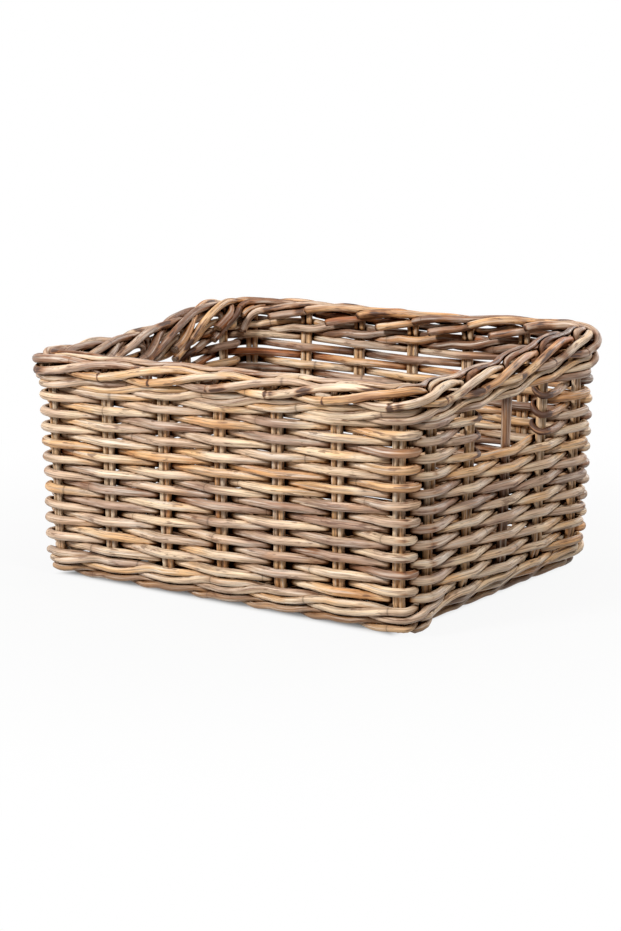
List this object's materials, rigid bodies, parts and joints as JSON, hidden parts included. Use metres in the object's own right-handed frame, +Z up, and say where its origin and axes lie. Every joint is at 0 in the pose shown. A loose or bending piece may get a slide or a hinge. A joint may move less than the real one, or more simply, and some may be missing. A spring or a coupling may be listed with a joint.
{
  "type": "woven storage basket",
  "caption": "Rectangular storage basket woven from round rattan cane, with a rolled rim and a hand hole in each short side.",
  "frame": {"origin": "middle of the footprint, on the floor under the basket", "axes": "+X along the long walls, +Y from the front long wall to the back one, +Z up"},
  "size_m": [0.4596, 0.3696, 0.2371],
  "materials": {
    "stake_cane": "satin",
    "weaver_cane": "satin",
    "wale_cane": "satin",
    "foot_cane": "satin",
    "base_cane": "satin"
  },
  "bodies": {
    "root": {"stake_pair_1": "stake_cane", "stake_pair_2": "stake_cane", "stake_pair_3": "stake_cane", "stake_pair_4": "stake_cane", "stake_pair_5": "stake_cane", "stake_pair_6": "stake_cane", "stake_pair_7": "stake_cane", "stake_pair_8": "stake_cane", "stake_pair_9": "stake_cane", "stake_pair_10": "stake_cane", "stake_pair_11": "stake_cane", "stake_pair_12": "stake_cane", "stake_pair_13": "stake_cane", "stake_pair_14": "stake_cane", "stake_pair_15": "stake_cane", "stake_pair_16": "stake_cane", "stake_pair_17": "stake_cane", "stake_pair_18": "stake_cane", "stake_pair_19": "stake_cane", "stake_pair_20": "stake_cane", "stake_pair_21": "stake_cane", "stake_pair_22": "stake_cane", "stake_pair_23": "stake_cane", "stake_pair_24": "stake_cane", "weaver_row_1": "weaver_cane", "weaver_row_2": "weaver_cane", "weaver_row_3": "weaver_cane", "weaver_row_4": "weaver_cane", "weaver_row_5": "weaver_cane", "weaver_row_6": "weaver_cane", "weaver_row_7": "weaver_cane", "weaver_row_8": "weaver_cane", "weaver_row_9": "weaver_cane", "weaver_row_10": "weaver_cane", "weaver_row_11": "weaver_cane", "weaver_row_12": "weaver_cane", "weaver_row_13": "weaver_cane", "weaver_row_14": "weaver_cane", "weaver_row_15": "weaver_cane", "front_weaver_rows_16_17": "weaver_cane", "front_weaver_rows_18_19": "weaver_cane", "front_weaver_rows_20_21": "weaver_cane", "back_weaver_rows_16_17": "weaver_cane", "back_weaver_rows_18_19": "weaver_cane", "back_weaver_rows_20_21": "weaver_cane", "upper_wale_strand_1": "wale_cane", "upper_wale_strand_2": "wale_cane", "upper_wale_strand_3": "wale_cane", "lower_wale_strand_1": "wale_cane", "lower_wale_strand_2": "wale_cane", "lower_wale_strand_3": "wale_cane", "foot_strand_1": "foot_cane", "foot_strand_2": "foot_cane", "base_stick_1": "base_cane", "base_stick_2": "base_cane", "base_stick_3": "base_cane", "base_stick_4": "base_cane", "base_stick_5": "base_cane", "base_stick_6": "base_cane", "base_weaver": "base_cane"}
  },
  "joints": []
}
